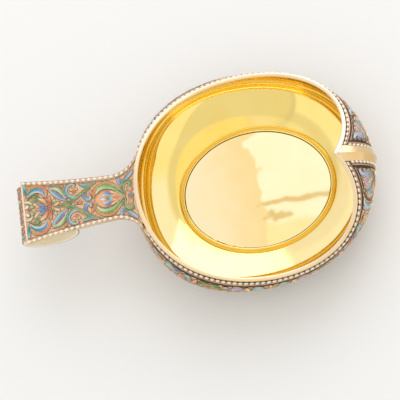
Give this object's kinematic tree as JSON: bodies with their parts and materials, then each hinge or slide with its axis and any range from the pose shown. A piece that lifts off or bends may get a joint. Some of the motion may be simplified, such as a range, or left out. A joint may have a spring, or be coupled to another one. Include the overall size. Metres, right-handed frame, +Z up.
{
  "type": "kovsh",
  "caption": "Heart-shaped drinking ladle of gilt silver with cloisonne enamel outside, a flat waisted handle with a curl beneath, and an oval foot.",
  "frame": {"origin": "centre of the oval foot, in the plane of its lower face on the table", "axes": "+X from the centre towards the prow, -X towards the handle, +Y to the port side, +Z up"},
  "size_m": [0.1772, 0.1092, 0.0436],
  "materials": {
    "gilt_silver": "polished",
    "scroll_enamel": "gloss",
    "bead_enamel": "gloss"
  },
  "bodies": {
    "root": {"bowl_shell": "gilt_silver", "floor_plate": "gilt_silver", "foot_ring": "gilt_silver", "rim_moulding": "gilt_silver", "keel_strip": "gilt_silver", "rim_bead_border_port": "bead_enamel", "rim_bead_border_starboard": "bead_enamel", "keel_bead_border_port": "bead_enamel", "keel_bead_border_starboard": "bead_enamel", "low_bead_border_port": "bead_enamel", "low_bead_border_starboard": "bead_enamel", "prow_panel_port": "scroll_enamel", "prow_panel_starboard": "scroll_enamel", "enamel_field_port": "scroll_enamel", "enamel_field_starboard": "scroll_enamel", "enamel_field_aft": "scroll_enamel", "handle_plate": "gilt_silver", "handle_end_wire": "gilt_silver", "handle_enamel": "scroll_enamel", "handle_bead_border_port": "bead_enamel", "handle_bead_border_starboard": "bead_enamel", "hook_strap": "gilt_silver", "hook_enamel": "scroll_enamel", "hook_edge_wire_port": "gilt_silver", "hook_edge_wire_starboard": "gilt_silver"}
  },
  "joints": []
}
